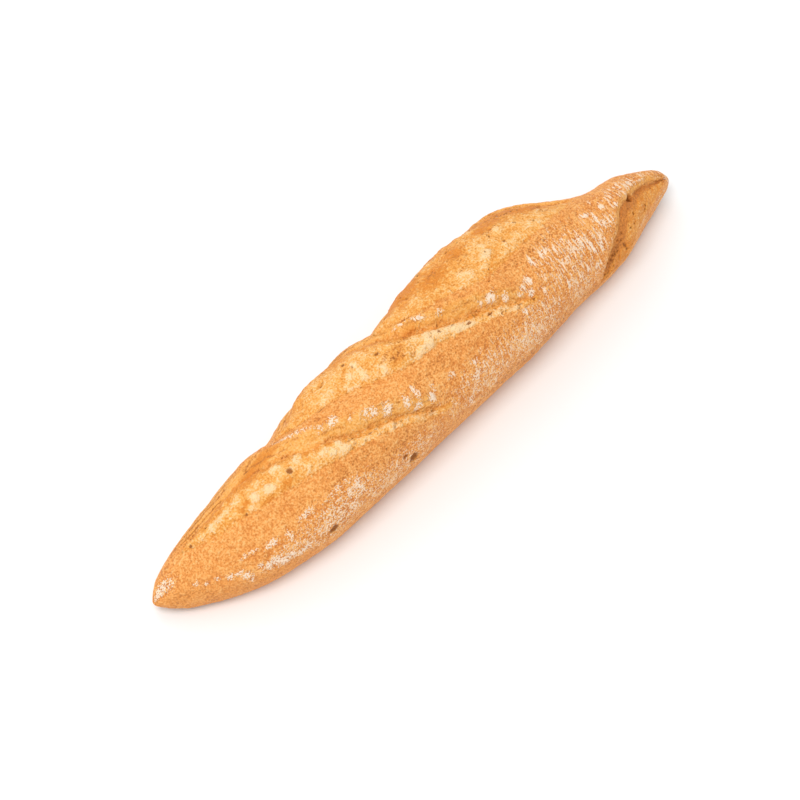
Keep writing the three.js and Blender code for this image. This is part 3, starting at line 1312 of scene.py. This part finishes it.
@dataclass(frozen=True)
class Wire:
    """An output of a shader node that adds up like a number: every operator adds a Math node."""

    shader: Shader
    socket: bpy.types.NodeSocket

    def _with(self, operation: Operation, first: Wire | float, second: Wire | float) -> Wire:
        """A Math node on two values."""
        return self.shader.node("ShaderNodeMath", {"operation": operation.value}, {0: first, 1: second})

    def __add__(self, other: Wire | float) -> Wire:
        """self + other."""
        return self._with(Operation.ADD, self, other)

    __radd__ = __add__

    def __sub__(self, other: Wire | float) -> Wire:
        """self - other."""
        return self._with(Operation.SUBTRACT, self, other)

    def __rsub__(self, other: float) -> Wire:
        """other - self."""
        return self._with(Operation.SUBTRACT, other, self)

    def __mul__(self, other: Wire | float) -> Wire:
        """self * other."""
        return self._with(Operation.MULTIPLY, self, other)

    __rmul__ = __mul__

    def rise(self, low: float, high: float) -> Wire:
        """A smooth step.

        Args:
            low: where it is 0.
            high: where it is 1, which may lie below low.

        Returns:
            The share from 0 to 1.
        """
        if high < low:
            return 1 - self.rise(high, low)
        settings = {"interpolation_type": "SMOOTHSTEP"}
        return self.shader.node("ShaderNodeMapRange", settings, {"Value": self, 1: low, 2: high})


class Shader:
    """A material's node tree under construction."""

    def __init__(self, name: str) -> None:
        """Starts an empty material.

        Args:
            name: what the material is called.
        """
        self.material = bpy.data.materials.new(name)
        self.material.use_nodes = True
        self.tree = self.material.node_tree
        self.tree.nodes.clear()

    def node(
        self, kind: str, settings: dict[str, Any], values: dict[str | int, Any], output: str | int = 0
    ) -> Wire:
        """Adds a node.

        Args:
            kind: the node's type.
            settings: its own settings, set first.
            values: what goes into its sockets: a Wire is linked and anything else is set.
            output: which of its outputs to give back.

        Returns:
            That output.
        """
        made = self.tree.nodes.new(kind)
        for name, value in settings.items():
            setattr(made, name, value)
        for name, value in values.items():
            if isinstance(value, Wire):
                self.tree.links.new(value.socket, made.inputs[name])
            else:
                made.inputs[name].default_value = value
        return Wire(self, made.outputs[output]) if made.outputs else Wire(self, made.inputs[0])

    def attribute(self, name: str) -> Wire:
        """A number stored on the mesh."""
        return self.node("ShaderNodeAttribute", {"attribute_name": name}, {}, "Fac")

    def colour_mix(self, share: Wire, first: Wire | Colour, second: Wire | Colour) -> Wire:
        """A colour between two others.

        Args:
            share: how much of the second colour there is.
            first: the colour where that is 0.
            second: the colour where that is 1.

        Returns:
            The blend.
        """
        a, b = (c if isinstance(c, Wire) else (*c, 1.0) for c in (first, second))
        settings = {"data_type": "RGBA", "blend_type": "MIX"}
        return self.node("ShaderNodeMix", settings, {"Factor": share, 6: a, 7: b}, 2)

    def noise(self, place: Wire, scale: float, detail: float) -> Wire:
        """Cloudy noise round 0, mostly from -1.5 to 1.5.

        Args:
            place: where on the piece.
            scale: how many features fit in one unit of place.
            detail: how many finer layers are added.

        Returns:
            The noise, spread out from the node's own narrow band round 0.5.
        """
        values = {"Vector": place, "Scale": scale, "Detail": detail, "Roughness": 0.5}
        return (self.node("ShaderNodeTexNoise", {}, values, "Fac") - 0.5) * 8.0

    def tones(self, tone: Wire, colours: Tones) -> Wire:
        """The colour at a tone: dark from -1.8 down, the middle one about 0 and light from 1.8 up."""
        shaded = self.colour_mix(tone.rise(-1.8, 0.4), colours.dark, colours.middle)
        return self.colour_mix(tone.rise(-0.4, 1.8), shaded, colours.light)

    def finish(self, values: dict[str, Any]) -> bpy.types.Material:
        """Ends the tree in a Principled shader.

        Args:
            values: what goes into its sockets.

        Returns:
            The finished material.
        """
        shaded = self.node("ShaderNodeBsdfPrincipled", {}, values)
        self.node("ShaderNodeOutputMaterial", {}, {"Surface": shaded})
        return self.material


class Tones(NamedTuple):
    """The dark, middle and light colour of one kind of crust: its grain runs between them."""

    dark: Colour
    middle: Colour
    light: Colour


@dataclass(frozen=True)
class CrustFinish:
    """Golden crust, paler dough in the cuts, browned high spots, painted shade in pits and creases, dry
    flour.

    dusting is flour that the crust shows through, and flour is where it lies thick. The noise scales say how
    many features of the grain, flecks, mottling and clouds fit in a metre.
    """

    skin: Tones = Tones((0.68, 0.212, 0.033), (0.88, 0.352, 0.076), (0.99, 0.530, 0.180))
    crumb: Tones = Tones((0.76, 0.250, 0.024), (0.94, 0.450, 0.098), (0.99, 0.680, 0.360))
    # browned crust, and painted shade in the grooves and valleys at the feet of the lips
    toasted: Tones = Tones((0.36, 0.115, 0.020), (0.64, 0.215, 0.034), (0.84, 0.335, 0.070))
    sole: Tones = Tones((0.36, 0.140, 0.035), (0.56, 0.245, 0.070), (0.76, 0.400, 0.150))
    dusting: Colour = (1.0, 0.63, 0.35)
    flour: Colour = (1.0, 0.79, 0.60)
    # painted shade: the dark colour of the pits and burst blisters
    pore: Colour = (0.34, 0.095, 0.004)
    roughness: float = 0.60
    flour_roughness: float = 0.9
    grain_height: float = 0.0016
    brush_turn: float = 21.0
    brush_scale: tuple[float, float, float] = (0.75, 0.14, 1.0)
    grain_scale: float = 950.0
    fleck_scale: float = 1120.0
    mottle_scale: float = 330.0
    cloud_scale: float = 70.0

    def material(self) -> bpy.types.Material:
        """The crust's material.

        A speckled tone of three layers of noise picks a colour between the dark and the light one of each
        kind of crust. The masks on the mesh, broken up by the same noise, say which kind shows where.

        Returns:
            The material, ready for the mesh.
        """
        shader = Shader("baked_crust")
        place = shader.node("ShaderNodeTexCoord", {}, {}, "Object")
        cloth = shader.node("ShaderNodeAttribute", {"attribute_name": "cloth"}, {}, "Vector")
        turn = (0, 0, math.radians(self.brush_turn))
        strokes = {"Vector": cloth, "Rotation": turn, "Scale": self.brush_scale}
        brush = shader.noise(shader.node("ShaderNodeMapping", {}, strokes), 1.0, 1)
        grain = shader.noise(place, self.grain_scale, 2)
        fleck = shader.noise(place, self.fleck_scale, 1)
        mottle = shader.noise(place, self.mottle_scale, 1)
        cloud = shader.noise(place, self.cloud_scale, 2)
        masks = ("dough", "pale", "amber", "toast", "flour", "brushed", "pore", "smooth", "sole")
        dough, pale, amber, toast, flour, brushed, pore, smooth, sole = map(shader.attribute, masks)

        tone = (grain * 0.85 + mottle * 0.27 + cloud * 0.2) * (1 - smooth * 0.55)
        skin = shader.tones(tone * (flour * 1.3 + 1) - flour * 0.3, self.skin)
        crumb = shader.tones(tone * 0.85 + pale * 2.5 - amber * 1.8 - 0.65, self.crumb)
        colour = shader.colour_mix((dough + tone * 0.2).rise(0.2, 0.8), skin, crumb)
        # painted shade: toast also darkens the grooves and valleys at the feet of the lips
        browning_and_shade = (toast * 1.5 - tone * 0.22 * toast.rise(0.0, 0.3)).rise(0.1, 1.3)
        colour = shader.colour_mix(browning_and_shade, colour, shader.tones(tone - toast * 0.8 + 0.4, self.toasted))
        colour = shader.colour_mix(sole * 0.85, colour, shader.tones(tone, self.sole))
        strewn = fleck * 1.3 + mottle * 0.45
        swept = fleck * 0.8 + brush * 1.25
        patchy = strewn + (swept - strewn) * brushed + cloud * 0.15
        powder = (flour * 3.0 + patchy - 1.62).rise(0.0, 0.85) * flour.rise(0.02, 0.25) * 0.95
        floury = shader.colour_mix(powder * flour * 1.15, self.dusting, self.flour)
        colour = shader.colour_mix(powder, colour, floury)
        # painted shade: pits and burst blisters darkened to the pore colour
        colour = shader.colour_mix((pore + tone * 0.14).rise(0.2, 0.85) * 0.93, colour, self.pore)

        height = grain * 0.08 + mottle * 0.12 + fleck * 0.04 + powder * 0.1
        relief = {"Strength": 1.0, "Distance": self.grain_height, "Height": height}
        bump = shader.node("ShaderNodeBump", {}, relief)
        roughness = powder * (self.flour_roughness - self.roughness) + self.roughness
        surface = {"Base Color": colour, "Roughness": roughness, "Normal": bump, "Specular IOR Level": 0.35}
        return shader.finish(surface)


@dataclass(frozen=True)
class FloorFinish:
    """Plain pale studio paper."""

    colour: Colour = (0.93, 0.93, 0.93)

    def material(self) -> bpy.types.Material:
        """A matte material."""
        return Shader("studio_paper").finish({"Base Color": (*self.colour, 1.0), "Roughness": 0.9})


# ---- The studio ----


@dataclass(frozen=True)
class Lamp:
    """A square soft light: its bearing and height as the camera's, its distance and size in loaf lengths."""

    name: str
    bearing: float
    elevation: float
    distance: float
    size: float
    power: float


@dataclass
class Studio:
    """A pale floor, soft light from all round and a camera over the front of the loaf.

    Distances are in loaf lengths, but for the gap under the loaf, which is in metres.
    """

    azimuth: float = -45.23
    elevation: float = 55.0
    distance: float = 2.976
    aim: tuple[float, float, float] = (-0.072, -0.022, 0.0625)
    lens: float = 100.0
    floor_reach: float = 20.0
    floor_gap: float = 0.0003
    sky: float = 0.76
    lamps: tuple[Lamp, ...] = (
        Lamp("key_light", -75, 66, 5.0, 2.6, 17.8),
        Lamp("fill_light", 160, 45, 3.5, 2.0, 2.6),
    )

    def build(self) -> None:
        """Makes the floor, the lights and the camera round the loaf's box."""
        low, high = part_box(NODE)
        length = high.x - low.x
        foot = Vector(((low.x + high.x) / 2, (low.y + high.y) / 2, low.z))
        self._floor(foot, length)
        self._sky()
        for lamp in self.lamps:
            self._light(lamp, foot, length)
        self._camera(foot, length)

    @staticmethod
    def _back(azimuth: float, elevation: float) -> Vector:
        """The direction from the loaf to a camera.

        Args:
            azimuth: the camera's bearing in degrees.
            elevation: its height in degrees.

        Returns:
            A unit vector.
        """
        a, e = math.radians(azimuth), math.radians(elevation)
        return Vector((math.sin(a) * math.cos(e), -math.cos(a) * math.cos(e), math.sin(e)))

    def _floor(self, foot: Vector, length: float) -> None:
        """A square of paper under the loaf.

        Args:
            foot: the middle of the loaf's sole.
            length: how long the loaf is.
        """
        reach = self.floor_reach * length
        corners = [(-reach, -reach), (reach, -reach), (reach, reach), (-reach, reach)]
        mesh = bpy.data.meshes.new("studio_floor")
        vertices = [(foot.x + x, foot.y + y, foot.z - self.floor_gap) for x, y in corners]
        mesh.from_pydata(vertices, [], [(0, 1, 2, 3)])
        mesh.materials.append(FloorFinish().material())
        floor = bpy.data.objects.new("studio_floor", mesh)
        bpy.context.scene.collection.objects.link(floor)

    def _sky(self) -> None:
        """Even white light from all round."""
        world = bpy.data.worlds.new("studio_light")
        world.use_nodes = True
        background = world.node_tree.nodes["Background"]
        background.inputs["Color"].default_value = (1.0, 1.0, 1.0, 1.0)
        background.inputs["Strength"].default_value = self.sky
        bpy.context.scene.world = world

    def _light(self, lamp: Lamp, foot: Vector, length: float) -> None:
        """Hangs one soft light, turned to the loaf.

        Args:
            lamp: which light.
            foot: the middle of the loaf's sole.
            length: how long the loaf is.
        """
        data = bpy.data.lights.new(lamp.name, "AREA")
        data.size = lamp.size * length
        data.energy = lamp.power
        light = bpy.data.objects.new(lamp.name, data)
        back = self._back(lamp.bearing, lamp.elevation)
        light.location = foot + back * lamp.distance * length
        light.rotation_mode = "QUATERNION"
        light.rotation_quaternion = back.to_track_quat("Z", "Y")
        bpy.context.scene.collection.objects.link(light)

    def _camera(self, foot: Vector, length: float) -> None:
        """Sets the camera to look down on the front of the loaf.

        Args:
            foot: the middle of the loaf's sole.
            length: how long the loaf is.
        """
        data = bpy.data.cameras.new("studio_camera")
        data.lens = self.lens
        camera = bpy.data.objects.new("studio_camera", data)
        back = self._back(self.azimuth, self.elevation)
        camera.location = foot + (Vector(self.aim) + back * self.distance) * length
        camera.rotation_mode = "QUATERNION"
        camera.rotation_quaternion = (-back).to_track_quat("-Z", "Y")
        bpy.context.scene.collection.objects.link(camera)
        bpy.context.scene.camera = camera


def main() -> None:
    """Loads the frame and builds the studio and the loaf round it."""
    logging.basicConfig(level=logging.INFO)
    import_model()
    bpy.context.scene.view_settings.view_transform = "Standard"
    Studio().build()
    piece = Crust().build(CrustFinish())
    log.info("%s: %d faces", piece.name, len(piece.data.polygons))


if __name__ == "__main__":
    main()
